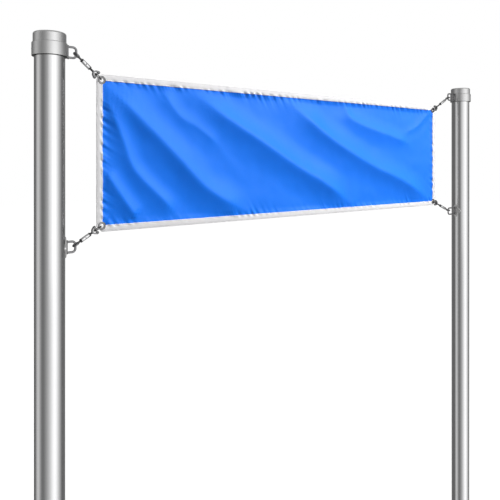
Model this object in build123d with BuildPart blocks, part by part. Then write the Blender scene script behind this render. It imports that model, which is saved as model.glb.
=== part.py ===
from build123d import *
from math import hypot
import os

os.makedirs("parts", exist_ok=True)

# Poles: stainless tubes, standing on round base flanges
pole_height = 2000.0
pole_dia = 76.1
pole_wall = 2.0

# Base flanges
flange_dia = 180.0
flange_thickness = 10.0
flange_edge = 2.0
anchor_circle_dia = 140.0
anchor_hole_dia = 14.0
anchor_count = 4
weld_leg = 5.0

# Caps: cups that slip over the tube ends
cap_dia = 82.0
cap_height = 26.0
cap_top_thickness = 5.0
cap_edge_radius = 5.5
slip_gap = 0.1

# Collars: rings round the tube, right under the caps
collar_dia = 88.0
collar_height = 35.0
collar_edge_radius = 2.0

# Eyes: D-shaped loops of round bar with a flat back bar, welded on
eye_rod_dia = 6.0
eye_height = 34.0
eye_corner_radius = 9.0
eye_back_thickness = 4.0
eye_back_width = 9.0
left_eye_depth = 28.5
right_eye_depth = 57.5

# Saddles: diamond plates bent to the tube, under the lower eyes
saddle_height = 62.0
saddle_width = 46.0
saddle_thickness = 3.5
saddle_corner_radius = 5.0

# Banner: cloth in a folded hem with a cut corner at each end
banner_width = 1540.0
banner_height = 428.0
banner_left_gap = 125.0
banner_right_gap = 196.0
upper_eye_above_banner = 48.5
lower_eye_below_banner = 33.0
cloth_thickness = 1.0
hem_width = 18.0
hem_thickness = 2.4
hem_corner_cut = 15.5

# Folds in the cloth: their height, how far their flanks reach and how they fade towards the hem.
# A crest is its share of the height, and points as shares of the cloth's half width and height
fold_height = 14.0
fold_reach = 62.0
fold_fade = 45.0
fold_columns = 36
fold_rows = 12
fold_crests = [
    (1.0, [(-0.99, 0.93), (-0.84, 0.45), (-0.70, -0.04), (-0.55, -0.56), (-0.35, -0.95)]),
    (0.6, [(-0.99, 0.76), (-0.92, 0.17), (-0.87, -0.25), (-0.75, -0.69), (-0.70, -0.92)]),
    (0.7, [(-0.99, -0.26), (-0.92, -0.65), (-0.86, -0.95)]),
    (0.45, [(-0.76, 0.95), (-0.68, 0.57), (-0.60, 0.41)]),
    (1.0, [(-0.60, 0.89), (-0.49, 0.61), (-0.25, 0.11), (-0.02, -0.33), (0.10, -0.52), (0.33, -0.93)]),
    (1.0, [(-0.11, 0.90), (-0.02, 0.64), (0.23, 0.15), (0.49, -0.30), (0.71, -0.56), (0.95, -0.93)]),
    (0.7, [(0.26, 0.93), (0.32, 0.69), (0.46, 0.53), (0.65, 0.39), (0.82, 0.27)]),
]

# Grommets: rolled eyelets in the hem's corners
grommet_dia = 22.0
grommet_hole_dia = 11.0
grommet_wall = 0.8
grommet_lip = 1.2
grommet_side_inset = 15.5
grommet_edge_inset = 16.5

# Rigging screws: eye screw, barrel, fork screw, and a ring through the grommet
hook_height_offset = 4.5
screw_dia = 6.0
screw_gap = 0.05
loop_rod_dia = 4.5
loop_radius = 8.0
barrel_dia = 10.5
barrel_edge = 0.8
left_barrel_length = 25.0
right_barrel_length = 34.0
barrel_share = 0.37
screw_depth_share = 0.38
tommy_hole_dia = 3.0
nut_across_flats = 10.0
nut_thickness = 3.2
nut_gap = 0.2
fork_gap = 13.0
fork_strap = 3.5
fork_depth = 8.0
fork_crown_to_pin = 8.5
fork_tip_radius = 4.5
pin_dia = 5.0
pin_head_dia = 8.0
pin_head_height = 2.2
ring_rod_dia = 3.5
ring_inner_half_width = 4.5
ring_pin_gap = 0.05
ring_hole_offset = 3.0
pin_to_grommet = 20.0

# Worked-out sizes
pole_radius = pole_dia / 2
collar_radius = collar_dia / 2
eye_rod_radius = eye_rod_dia / 2
cap_seat = pole_height - cap_height
collar_bottom = cap_seat - collar_height
upper_eye_height = collar_bottom + collar_height / 2
tube_top = pole_height - cap_top_thickness
saddle_radius = pole_radius + saddle_thickness
banner_left = banner_left_gap
banner_right = banner_left + banner_width
pole_spacing = banner_right + banner_right_gap
banner_top = upper_eye_height - upper_eye_above_banner
banner_bottom = banner_top - banner_height
lower_eye_height = banner_bottom - lower_eye_below_banner
banner_centre = ((banner_left + banner_right) / 2, 0, (banner_top + banner_bottom) / 2)
banner_plane = Plane(origin=banner_centre, x_dir=(1, 0, 0), z_dir=(0, -1, 0))
grommet_x = banner_width / 2 - grommet_side_inset
grommet_z = banner_height / 2 - grommet_edge_inset
grommet_spots = [(x, z) for x in (-grommet_x, grommet_x) for z in (-grommet_z, grommet_z)]
cloth_width = banner_width - 2 * hem_width
cloth_height = banner_height - 2 * hem_width

# One entry a pole: its place, the way its eyes face, and their depth
poles = {
    "left": (0.0, 1, left_eye_depth, left_barrel_length),
    "right": (pole_spacing, -1, right_eye_depth, right_barrel_length),
}


def write(name, part):
    part.label = name
    export_step(part, f"parts/{name}.step")


# Base flange: a disc with anchor holes and the weld round the tube's foot
def build_flange(side, x):
    with BuildPart() as flange:
        with BuildSketch(Plane.XZ.shift_origin((x, 0, 0))):
            with BuildLine():
                Polyline(
                    (0, 0),
                    (flange_dia / 2, 0),
                    (flange_dia / 2, flange_thickness - flange_edge),
                    (flange_dia / 2 - flange_edge, flange_thickness),
                    (pole_radius + weld_leg, flange_thickness),
                    (pole_radius, flange_thickness + weld_leg),
                    (pole_radius, flange_thickness),
                    (0, flange_thickness),
                    close=True,
                )
            make_face()
        revolve(axis=Axis((x, 0, 0), (0, 0, 1)))
        with Locations((x, 0, 0)):
            with PolarLocations(anchor_circle_dia / 2, anchor_count, start_angle=45):
                Cylinder(anchor_hole_dia / 2, 3 * flange_thickness, mode=Mode.SUBTRACT)
    write(f"{side}_base_flange", flange.part)


# Pole: the tube, from the flange to the inside of the cap
def build_pole(side, x):
    with BuildPart() as pole:
        with BuildSketch(Plane.XY.offset(flange_thickness)):
            with Locations((x, 0)):
                Circle(pole_radius)
                Circle(pole_radius - pole_wall, mode=Mode.SUBTRACT)
        extrude(amount=tube_top - flange_thickness)
    write(f"{side}_pole", pole.part)


# Cap: a cup with a rounded top edge, its rim on the collar
def build_cap(side, x):
    with BuildPart() as cap:
        with BuildSketch(Plane.XY.offset(cap_seat)):
            with Locations((x, 0)):
                Circle(cap_dia / 2)
        extrude(amount=cap_height)
        fillet(cap.edges().group_by(Axis.Z)[-1], radius=cap_edge_radius)
        with BuildSketch(Plane.XY.offset(cap_seat)):
            with Locations((x, 0)):
                Circle(pole_radius + slip_gap)
        extrude(amount=tube_top - cap_seat, mode=Mode.SUBTRACT)
    write(f"{side}_cap", cap.part)


# Collar: a ring with eased edges
def build_collar(side, x):
    with BuildPart() as collar:
        with BuildSketch(Plane.XY.offset(collar_bottom)):
            with Locations((x, 0)):
                Circle(collar_radius)
        extrude(amount=collar_height)
        fillet(collar.edges().filter_by(GeomType.CIRCLE), radius=collar_edge_radius)
        with Locations((x, 0, upper_eye_height)):
            Cylinder(pole_radius + slip_gap, 2 * collar_height, mode=Mode.SUBTRACT)
    write(f"{side}_collar", collar.part)


# Eye: a bent bar and its back bar, cut to the round face they are welded to
def build_eye(name, x, facing, seat_radius, depth, height):
    tip = seat_radius + depth - eye_rod_radius
    half = eye_height / 2 - eye_rod_radius
    inside = seat_radius - eye_rod_radius
    plane = Plane(origin=(x, 0, height), x_dir=(facing, 0, 0), z_dir=(0, -facing, 0))
    with BuildPart() as eye:
        with BuildLine(plane) as route:
            FilletPolyline(
                (inside, half),
                (tip, half),
                (tip, -half),
                (inside, -half),
                radius=eye_corner_radius,
            )
        with BuildSketch(Plane(origin=route.line @ 0, z_dir=route.line % 0)):
            Circle(eye_rod_radius)
        sweep()
        with BuildSketch(plane):
            with Locations((seat_radius, 0)):
                Rectangle(2 * eye_back_thickness, eye_height)
        extrude(amount=eye_back_width / 2, both=True)
        with Locations((x, 0, height)):
            Cylinder(seat_radius, 2 * eye_height, mode=Mode.SUBTRACT)
    write(name, eye.part)


# Saddle: a diamond cut from a sleeve of the tube's radius
def build_saddle(side, x, facing):
    plane = Plane(origin=(x, 0, lower_eye_height), x_dir=(0, 1, 0), z_dir=(facing, 0, 0))
    with BuildPart() as saddle:
        with Locations((x, 0, lower_eye_height)):
            Cylinder(saddle_radius, saddle_height)
            Cylinder(pole_radius, 2 * saddle_height, mode=Mode.SUBTRACT)
        with BuildSketch(plane):
            with BuildLine():
                Polyline(
                    (-saddle_width / 2, 0),
                    (0, saddle_height / 2),
                    (saddle_width / 2, 0),
                    (0, -saddle_height / 2),
                    close=True,
                )
            diamond = make_face()
            fillet(diamond.vertices(), radius=saddle_corner_radius)
        extrude(amount=2 * saddle_radius, mode=Mode.INTERSECT)
    write(f"{side}_saddle", saddle.part)


# Rigging screw between an eye and a grommet, laid along its own axis
def build_link(name, hook_x, hook_z, end_x, end_z, barrel_length):
    length = hypot(end_x - hook_x, end_z - hook_z)
    along = Vector((end_x - hook_x) / length, 0, (end_z - hook_z) / length)
    face = Plane(origin=(hook_x, 0, hook_z), x_dir=along, z_dir=(0, -1, 0))
    across = face.y_dir
    screw_radius = screw_dia / 2
    loop_end = -(eye_rod_radius + loop_rod_dia / 2 + slip_gap) / abs(along.X)
    loop_centre = loop_end + loop_radius
    barrel_start = barrel_share * length - barrel_length / 2
    barrel_end = barrel_start + barrel_length
    screw_depth = screw_depth_share * barrel_length
    pin_place = length - pin_to_grommet
    crown_centre = pin_place - fork_crown_to_pin + fork_gap / 2

    def at(distance):
        return face.from_local_coords((distance, 0, 0))

    # Eye screw: a closed loop round the eye's bar, and a threaded shank
    with BuildPart() as eye_screw:
        with Locations(Plane(origin=at(loop_centre), x_dir=along, z_dir=across)):
            Torus(loop_radius, loop_rod_dia / 2)
        with BuildSketch(Plane(origin=at(loop_centre + loop_radius), z_dir=along)):
            Circle(screw_radius)
        extrude(amount=barrel_start + screw_depth - loop_centre - loop_radius)
    write(f"{name}_eye_screw", eye_screw.part)

    # Barrel: a round body with a bore for both screws and a cross hole
    with BuildPart() as barrel:
        with BuildSketch(Plane(origin=at(barrel_start), z_dir=along)):
            Circle(barrel_dia / 2)
        extrude(amount=barrel_length)
        chamfer(barrel.edges().filter_by(GeomType.CIRCLE), length=barrel_edge)
        with BuildSketch(Plane(origin=at(barrel_start), z_dir=along)):
            Circle(screw_radius + screw_gap)
        extrude(amount=barrel_length, mode=Mode.SUBTRACT)
        with BuildSketch(Plane(origin=at(barrel_start + barrel_length / 2), z_dir=(0, 1, 0))):
            Circle(tommy_hole_dia / 2)
        extrude(amount=barrel_dia, both=True, mode=Mode.SUBTRACT)
    write(f"{name}_barrel", barrel.part)

    # Lock nuts: one on each screw, up against the barrel's ends
    nut_places = {
        "near": barrel_start - nut_gap - nut_thickness,
        "far": barrel_end + nut_gap,
    }
    for end, place in nut_places.items():
        with BuildPart() as nut:
            with BuildSketch(Plane(origin=at(place), x_dir=across, z_dir=along)):
                RegularPolygon(nut_across_flats / 2, 6, major_radius=False)
                Circle(screw_radius + screw_gap, mode=Mode.SUBTRACT)
            extrude(amount=nut_thickness)
        write(f"{name}_{end}_nut", nut.part)

    # Fork screw: a strap bent to a U on the other screw, with a pin across it
    with BuildPart() as fork_screw:
        with BuildSketch(face):
            with Locations((crown_centre, 0)):
                Circle(fork_gap / 2 + fork_strap)
            with Locations(((crown_centre + pin_place) / 2, 0)):
                Rectangle(pin_place - crown_centre, fork_gap + 2 * fork_strap)
            with Locations(((crown_centre + pin_place) / 2 + fork_tip_radius, 0)):
                Rectangle(pin_place - crown_centre + 2 * fork_tip_radius, fork_gap, mode=Mode.SUBTRACT)
            with Locations((crown_centre, 0)):
                Circle(fork_gap / 2, mode=Mode.SUBTRACT)
        extrude(amount=fork_depth / 2, both=True)
        cheek = Plane(origin=at(pin_place), x_dir=along, z_dir=across)
        with BuildSketch(cheek.offset(fork_gap / 2), cheek.offset(-fork_gap / 2 - fork_strap)):
            Circle(fork_tip_radius)
        extrude(amount=fork_strap)
        with BuildSketch(cheek):
            Circle(pin_dia / 2)
        extrude(amount=fork_gap / 2 + fork_strap, both=True)
        pin_seat = fork_gap / 2 + fork_strap
        with BuildSketch(cheek.offset(pin_seat), cheek.offset(-pin_seat - pin_head_height)):
            Circle(pin_head_dia / 2)
        extrude(amount=pin_head_height)
        shank_start = barrel_end - screw_depth
        shank_end = crown_centre - fork_gap / 2 - fork_strap / 2
        with BuildSketch(Plane(origin=at(shank_start), z_dir=along)):
            Circle(screw_radius)
        extrude(amount=shank_end - shank_start)
    write(f"{name}_fork_screw", fork_screw.part)

    # Ring: a long link round the fork's pin and through the grommet
    ring_radius = ring_inner_half_width + ring_rod_dia / 2
    pin_end = pin_place - pin_dia / 2 - ring_pin_gap - ring_rod_dia / 2 + ring_radius
    grommet_end = length - ring_hole_offset - ring_radius
    ring_plane = Plane(origin=(hook_x, 0, hook_z), x_dir=along, z_dir=across)
    with BuildPart() as ring:
        with BuildLine(ring_plane) as route:
            Line((pin_end, ring_radius), (grommet_end, ring_radius))
            CenterArc((grommet_end, 0), ring_radius, 90, -180)
            Line((grommet_end, -ring_radius), (pin_end, -ring_radius))
            CenterArc((pin_end, 0), ring_radius, 270, -180)
        with BuildSketch(Plane(origin=route.line @ 0, z_dir=route.line % 0)):
            Circle(ring_rod_dia / 2)
        sweep()
    write(f"{name}_ring", ring.part)


# Hem: the folded band round the cloth, with cut corners and grommet holes
def build_hem():
    with BuildPart() as hem:
        with BuildSketch(banner_plane) as outline:
            Rectangle(banner_width, banner_height)
            chamfer(outline.vertices(), length=hem_corner_cut)
            Rectangle(cloth_width, cloth_height, mode=Mode.SUBTRACT)
            with Locations(*grommet_spots):
                Circle(grommet_hole_dia / 2 + grommet_wall, mode=Mode.SUBTRACT)
        extrude(amount=hem_thickness / 2, both=True)
    write("banner_hem", hem.part)


# Cloth: the panel inside the hem, lofted through upright sections that rise over the folds' crests
def build_cloth():
    crests = [
        (share, Polyline(*[(x * cloth_width / 2, z * cloth_height / 2) for x, z in places]))
        for share, places in fold_crests
    ]

    def fold_at(x, z):
        inside = min(cloth_width / 2 - abs(x), cloth_height / 2 - abs(z))
        nearness = [share * max(0, 1 - crest.distance_to((x, z, 0)) / fold_reach) for share, crest in crests]
        return fold_height * max(nearness) * min(1, inside / fold_fade)

    with BuildPart() as cloth:
        for column in range(fold_columns + 1):
            x = cloth_width * (column / fold_columns - 0.5)
            rises = [cloth_height * (row / fold_rows - 0.5) for row in range(fold_rows + 1)]
            middle = [(z, fold_at(x, z)) for z in rises]
            station = banner_plane.from_local_coords((x, 0, 0))
            with BuildSketch(Plane(origin=station, x_dir=(0, 0, 1), z_dir=(1, 0, 0))):
                with BuildLine():
                    front = Spline(*[(z, height + cloth_thickness / 2) for z, height in middle])
                    back = Spline(*[(z, height - cloth_thickness / 2) for z, height in middle])
                    Line(front @ 0, back @ 0)
                    Line(front @ 1, back @ 1)
                make_face()
        loft(ruled=True)
        with BuildSketch(banner_plane):
            with Locations(*grommet_spots):
                Circle(grommet_hole_dia / 2 + grommet_wall)
        extrude(amount=hem_thickness, both=True, mode=Mode.SUBTRACT)
    write("banner_cloth", cloth.part)


# Grommet: a tube through the hem with a rounded lip on each face
def build_grommet(name, x, z):
    with BuildPart() as grommet:
        with BuildSketch(Plane(origin=(x, 0, z), z_dir=(0, -1, 0))):
            Circle(grommet_hole_dia / 2 + grommet_wall)
        extrude(amount=hem_thickness / 2, both=True)
        for side in (1, -1):
            with BuildSketch(Plane(origin=(x, side * hem_thickness / 2, z), z_dir=(0, side, 0))):
                Circle(grommet_dia / 2)
            extrude(amount=grommet_lip, taper=30)
        with BuildSketch(Plane(origin=(x, 0, z), z_dir=(0, -1, 0))):
            Circle(grommet_hole_dia / 2)
        extrude(amount=hem_thickness, both=True, mode=Mode.SUBTRACT)
    write(name, grommet.part)


for side, (x, facing, eye_depth, barrel_length) in poles.items():
    build_flange(side, x)
    build_pole(side, x)
    build_cap(side, x)
    build_collar(side, x)
    build_saddle(side, x, facing)
    corner_x = banner_left if side == "left" else banner_right
    grommet_place_x = corner_x + facing * grommet_side_inset
    levels = {
        "upper": (collar_radius, upper_eye_height, -1, banner_top - grommet_edge_inset),
        "lower": (saddle_radius, lower_eye_height, 1, banner_bottom + grommet_edge_inset),
    }
    for level, (seat, eye_z, towards, grommet_place_z) in levels.items():
        name = f"{level}_{side}"
        build_eye(f"{name}_eye", x, facing, seat, eye_depth, eye_z)
        hook_x = x + facing * (seat + eye_depth - eye_rod_radius)
        hook_z = eye_z + towards * hook_height_offset
        build_link(name, hook_x, hook_z, grommet_place_x, grommet_place_z, barrel_length)
        build_grommet(f"{name}_grommet", grommet_place_x, grommet_place_z)

build_hem()
build_cloth()
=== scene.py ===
"""Banner stretched between two steel poles: finishes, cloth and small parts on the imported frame."""

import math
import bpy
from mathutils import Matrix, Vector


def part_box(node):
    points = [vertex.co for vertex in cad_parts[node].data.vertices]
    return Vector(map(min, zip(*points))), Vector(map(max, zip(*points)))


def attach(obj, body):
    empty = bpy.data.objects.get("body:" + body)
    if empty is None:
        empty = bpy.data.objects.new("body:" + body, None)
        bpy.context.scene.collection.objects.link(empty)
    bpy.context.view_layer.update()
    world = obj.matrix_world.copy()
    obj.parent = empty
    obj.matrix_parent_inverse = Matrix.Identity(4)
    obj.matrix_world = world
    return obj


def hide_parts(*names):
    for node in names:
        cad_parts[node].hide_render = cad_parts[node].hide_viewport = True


bl_info = {
    "name": "Banner Poles",
    "version": (1, 0, 0),
    "blender": (4, 5, 0),
    "location": "3D View > Sidebar > Banner Poles",
    "description": "Dresses a pair of steel poles and the banner that is stretched between them",
    "category": "Object",
}

import bmesh
import bpy
import numpy as np
from bpy.props import FloatProperty, FloatVectorProperty, PointerProperty
from mathutils import Matrix, Vector

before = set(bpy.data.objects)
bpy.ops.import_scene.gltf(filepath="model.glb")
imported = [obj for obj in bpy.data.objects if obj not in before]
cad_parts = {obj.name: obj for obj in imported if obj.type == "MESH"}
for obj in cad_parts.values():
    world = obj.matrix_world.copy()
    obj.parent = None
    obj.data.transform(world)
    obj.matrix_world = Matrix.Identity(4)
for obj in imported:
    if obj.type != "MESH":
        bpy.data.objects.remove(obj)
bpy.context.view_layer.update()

MM = 0.001
SIDES = {"left": 1, "right": -1}
LEVELS = ("upper", "lower")
CORNERS = [f"{level}_{side}" for level in LEVELS for side in SIDES]
UP = Vector((0, 0, 1))
ROOT = "stand"
AXIS = 0.0001  # a radius at which a turned profile meets its axis

TUBE_WALL = 2 * MM
FIT = 0.1 * MM  # between a tube and the cap or collar on it
CAP_EDGE = 5.5 * MM
COLLAR_EDGE = 2 * MM
COLLAR_RADIUS = 44 * MM
SADDLE_THICKNESS = 3.5 * MM
FLANGE_EDGE = 2 * MM
ANCHOR_HOLE = 7 * MM
ANCHOR_CIRCLE = 70 * MM
EYE_BACK_HALF_WIDTH = 4.5 * MM
EYE_WELD_OFFSET = 4.9 * MM
CROSS_HOLE = 1.5 * MM
HEM_WIDTH = 18 * MM
HEM_CORNER_CUT = 15.5 * MM
HEM_HOLE = 6.6 * MM
CLOTH_INSET = 12 * MM  # the cloth ends under the hem, this far from the banner's edge
CLOTH_UNDER_HEM = 6 * MM


# Sizes and colours that a user would change


def length_setting(name, description, millimetres):
    """A length property, with its default in millimetres"""
    return FloatProperty(name=name, description=description, default=millimetres * MM, unit="LENGTH")


def colour_setting(name, description, linear):
    """A colour property, with its default in linear light"""
    return FloatVectorProperty(name=name, description=description, default=linear, subtype="COLOR")


class BannerSizes(bpy.types.PropertyGroup):
    """Sizes of the cloth, its hem and its stitching"""

    grid: length_setting("Cloth grid", "Spacing of the cloth's vertices", 3.2)
    fold_height: length_setting("Fold height", "Height of a full fold", 14)
    fold_front: length_setting("Fold front", "Reach of a fold's lit side", 76)
    fold_back: length_setting("Fold back", "Reach of a fold's shaded side", 92)
    crest: length_setting("Crest radius", "Roundness of a fold's crest", 19)
    pucker_height: length_setting("Pucker height", "Height of the puckers", 2.4)
    pucker_pitch: length_setting("Pucker pitch", "Mean spacing of the puckers", 32)
    pucker_reach: length_setting("Pucker reach", "Reach of the puckers", 13)
    stitch_pitch: length_setting("Stitch pitch", "Length of one stitch and gap", 4)
    stitch_length: length_setting("Stitch length", "Length of one stitch", 2.9)
    thread: length_setting("Thread", "Thickness of the thread", 0.55)


class RiggingSizes(bpy.types.PropertyGroup):
    """Sizes of the eyes, rigging screws and rings, as in the frame"""

    eye_rod: length_setting("Eye bar", "Thickness of the pole eyes' bar", 6)
    eye_bend: length_setting("Eye bend", "Bend radius of the pole eyes", 9)
    eye_back: length_setting("Eye back", "Thickness of the eyes' back bar", 4)
    loop_rod: length_setting("Loop wire", "Thickness of the screw's loop", 4.5)
    loop_radius: length_setting("Loop radius", "Radius of the screw's loop", 8)
    screw: length_setting("Screw", "Outside size of the thread", 6)
    pitch: length_setting("Pitch", "Pitch of the thread", 1)
    barrel: length_setting("Barrel", "Outside size of the barrel", 10.5)
    nut: length_setting("Nut", "Lock nut across its flats", 10)
    nut_height: length_setting("Nut height", "Thickness of a lock nut", 3.2)
    nut_gap: length_setting("Nut gap", "Gap between nut and barrel", 0.2)
    fork_gap: length_setting("Fork gap", "Gap between the fork's cheeks", 13)
    fork_strap: length_setting("Fork strap", "Thickness of the fork", 3.5)
    fork_depth: length_setting("Fork depth", "Width of the fork's strap", 8)
    crown: length_setting("Crown", "From the pin to the fork's crown", 8.5)
    pin: length_setting("Pin", "Thickness of the fork's pin", 5)
    pin_head: length_setting("Pin head", "Width of the pin's heads", 8)
    pin_inset: length_setting("Pin inset", "From the pin to the grommet", 20)
    ring_rod: length_setting("Ring wire", "Thickness of the ring", 3.5)
    ring_half: length_setting("Ring half width", "Inner half width of the ring", 4.5)
    ring_inset: length_setting("Ring inset", "From the ring's end to the grommet's middle", 3)
    barrel_left: length_setting("Left barrels", "Length of the left barrels", 25)
    barrel_right: length_setting("Right barrels", "Length of the right barrels", 34)


class FinishColours(bpy.types.PropertyGroup):
    """Colours of the finishes, in linear light"""

    steel: colour_setting("Steel", "Satin steel", (0.60, 0.60, 0.605))
    polished: colour_setting("Polished", "Polished steel", (0.20, 0.20, 0.205))
    # Lock nuts and grub screws; the same dark colour is also painted shade on the collars' undersides
    burnished_and_shade: colour_setting("Burnished", "Lock nuts", (0.05, 0.05, 0.052))
    weld: colour_setting("Weld", "Weld beads", (0.30, 0.295, 0.29))
    cloth: colour_setting("Cloth", "Banner cloth", (0.004, 0.20, 0.96))
    cloth_deep: colour_setting("Cloth deep", "Darker threads", (0.003, 0.165, 0.84))
    hem: colour_setting("Hem", "Hem tape", (0.80, 0.80, 0.81))
    hem_shade: colour_setting("Hem shade", "Hem's darker threads", (0.70, 0.69, 0.70))
    thread: colour_setting("Thread", "Stitching", (0.78, 0.78, 0.80))


class StageSettings(bpy.types.PropertyGroup):
    """Camera, lamps and floor"""

    camera_x: FloatProperty(name="Camera X", description="Camera's place", default=-0.4874, unit="LENGTH")
    camera_y: FloatProperty(name="Camera Y", description="Camera's place", default=-1.4681, unit="LENGTH")
    camera_drop: FloatProperty(name="Camera drop", description="Below the caps", default=0.326, unit="LENGTH")
    turn: FloatProperty(
        name="Turn", description="Camera's turn to the right", default=math.radians(37.73), unit="ROTATION"
    )
    lens: FloatProperty(name="Lens", description="Focal length in millimetres", default=41.04)
    shift: FloatProperty(name="Shift", description="Vertical lens shift", default=-0.1794)
    world: FloatProperty(name="World", description="Strength of the even light", default=0.22)
    mirrored: FloatProperty(name="Mirrored", description="Even light that reflections see", default=0.5)
    key: FloatProperty(name="Key", description="Power of the key lamp", default=165.0, unit="POWER")
    fill: FloatProperty(name="Fill", description="Power of the fill lamp", default=4.0, unit="POWER")
    glow: FloatProperty(name="Glow", description="Power of the cloth's gloss lamp", default=225.0, unit="POWER")
    back: FloatProperty(name="Back", description="Power of the back lamp", default=150.0, unit="POWER")
    floor: FloatProperty(name="Floor", description="Size of the floor", default=40.0, unit="LENGTH")


# Mesh helpers


def turns_of(count):
    """Evenly spaced angles of one full turn"""
    return [2 * math.pi * k / count for k in range(count)]


def link_object(name, data):
    """A new object in the scene"""
    made = bpy.data.objects.new(name, data)
    bpy.context.scene.collection.objects.link(made)
    return made


def middle_of(node):
    """The middle of a node of the frame"""
    low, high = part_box(node)
    return (low + high) / 2


def face_outwards(mesh):
    """Turns every closed body's faces outwards"""
    shape = bmesh.new()
    shape.from_mesh(mesh)
    bmesh.ops.recalc_face_normals(shape, faces=shape.faces)
    shape.to_mesh(mesh)
    shape.free()


def new_piece(name, verts, faces, material, body, slot, smooth=True):
    """An object that rides on a body, with its finish; the slot is not used"""
    mesh = bpy.data.meshes.new(name)
    mesh.from_pydata([tuple(v) for v in verts], [], faces)
    mesh.validate()
    face_outwards(mesh)
    mesh.polygons.foreach_set("use_smooth", [smooth] * len(mesh.polygons))
    mesh.update()
    mesh.materials.append(material)
    piece = link_object(name, mesh)
    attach(piece, body)
    return piece


def join(*parts):
    """One (verts, faces) pair from several"""
    verts, faces = [], []
    for part_verts, part_faces in parts:
        start = len(verts)
        verts.extend(part_verts)
        faces.extend([tuple(start + i for i in face) for face in part_faces])
    return verts, faces


def placed(part, matrix):
    """The same part, moved by a matrix"""
    verts, faces = part
    return [matrix @ Vector(v) for v in verts], faces


def grid_faces(rows, columns, close_rows=False, close_columns=False):
    """Quads between the points of a grid"""
    faces = []
    for i in range(rows if close_rows else rows - 1):
        for j in range(columns if close_columns else columns - 1):
            a, b = i * columns, ((i + 1) % rows) * columns
            k = (j + 1) % columns
            faces.append((a + j, b + j, b + k, a + k))
    return faces


def lathe(profile, segments=96, closed=False):
    """Turns (radius, height) points round Z; an open profile that ends on the axis makes a closed body"""
    verts, turns = [], turns_of(segments)
    for radius, height in profile:
        verts.extend([(radius * math.cos(t), radius * math.sin(t), height) for t in turns])
    return verts, grid_faces(len(profile), segments, closed, True)


def rounded(points, radius, steps=4, closed=True):
    """A polyline with its corners rounded"""
    out, count = [], len(points)
    for k in range(count):
        here = Vector(points[k])
        if not closed and k in (0, count - 1):
            out.append(tuple(here))
            continue
        before, after = Vector(points[k - 1]) - here, Vector(points[(k + 1) % count]) - here
        reach = min(radius, before.length * 0.49, after.length * 0.49)
        start, end = here + before.normalized() * reach, here + after.normalized() * reach
        for step in range(steps + 1):
            t = step / steps
            out.append(tuple((1 - t) ** 2 * start + 2 * t * (1 - t) * here + t * t * end))
    return out


def sweep(path, section, closed=False, first_normal=None):
    """Carries a closed section, given as (across, up) points, along a path"""
    path = [Vector(p) for p in path]
    count, verts = len(path), []
    normal = Vector(first_normal) if first_normal else None
    for k in range(count):
        if closed:
            heading = (path[(k + 1) % count] - path[k - 1]).normalized()
        else:
            heading = (path[min(k + 1, count - 1)] - path[max(k - 1, 0)]).normalized()
        if normal is None:
            normal = heading.orthogonal()
        normal = (normal - heading * normal.dot(heading)).normalized()
        side = heading.cross(normal)
        verts.extend([path[k] + normal * up + side * across for across, up in section])
    faces = grid_faces(count, len(section), closed, True)
    if not closed:
        faces.append(tuple(range(len(section))))
        faces.append(tuple(range(len(verts) - 1, len(verts) - 1 - len(section), -1)))
    return verts, faces


def circle(radius, segments=20):
    """A round section"""
    return [(radius * math.cos(t), radius * math.sin(t)) for t in turns_of(segments)]


def arc(centre, radius, start, end, steps):
    """Points of an arc in a plane, angles in degrees"""
    turns = [math.radians(start + (end - start) * k / steps) for k in range(steps + 1)]
    return [(centre[0] + radius * math.cos(t), centre[1] + radius * math.sin(t)) for t in turns]


def thread(start, end, size, pitch, segments=24, steps=8):
    """A threaded rod along Z, with a V thread that turns once a pitch"""
    depth = 0.55 * pitch
    rings = max(2, round((end - start) / pitch * steps))
    verts = []
    for ring in range(rings + 1):
        height = start + (end - start) * ring / rings
        fade = min(1, (height - start) / pitch, (end - height) / pitch)
        for k in range(segments):
            turn = k / segments
            phase = (height / pitch - turn) % 1
            radius = size / 2 - depth * abs(2 * phase - 1) * max(fade, 0)
            verts.append((radius * math.cos(2 * math.pi * turn), radius * math.sin(2 * math.pi * turn), height))
    faces = grid_faces(rings + 1, segments, False, True)
    faces.append(tuple(range(segments - 1, -1, -1)))
    faces.append(tuple(range(rings * segments, (rings + 1) * segments)))
    return verts, faces


def cut(piece, *cutters):
    """Takes closed (verts, faces) bodies out of a piece and keeps the result as its mesh"""
    for verts, faces in cutters:
        mesh = bpy.data.meshes.new("cutter")
        mesh.from_pydata([tuple(v) for v in verts], [], faces)
        face_outwards(mesh)
        cutter = link_object("cutter", mesh)
        modifier = piece.modifiers.new("hole", "BOOLEAN")
        modifier.object = cutter
        modifier.solver = "EXACT"
        bpy.context.view_layer.update()
        shape = bpy.data.meshes.new_from_object(piece.evaluated_get(bpy.context.evaluated_depsgraph_get()))
        piece.modifiers.remove(modifier)
        piece.data = shape
        bpy.data.objects.remove(cutter)
        bpy.data.meshes.remove(mesh)


def sharpen(piece, angle=35):
    """Keeps hard edges hard under smooth shading"""
    mesh = bmesh.new()
    mesh.from_mesh(piece.data)
    bmesh.ops.recalc_face_normals(mesh, faces=mesh.faces)
    for edge in mesh.edges:
        edge.smooth = len(edge.link_faces) == 2 and edge.calc_face_angle(0) < math.radians(angle)
    mesh.to_mesh(piece.data)
    mesh.free()


def tidy_loose(piece):
    """Takes out points that no face uses"""
    mesh = bmesh.new()
    mesh.from_mesh(piece.data)
    bmesh.ops.delete(mesh, geom=[v for v in mesh.verts if not v.link_faces], context="VERTS")
    mesh.to_mesh(piece.data)
    mesh.free()


def rod(radius, start, end, segments=32):
    """A plain closed rod along Z"""
    verts, faces = lathe([(radius, start), (radius, end)], segments)
    faces.append(tuple(range(segments - 1, -1, -1)))
    faces.append(tuple(range(segments, 2 * segments)))
    return verts, faces


def upright(x, y, z):
    """A matrix that puts a part's origin at a point"""
    return Matrix.Translation((x, y, z))


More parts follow.
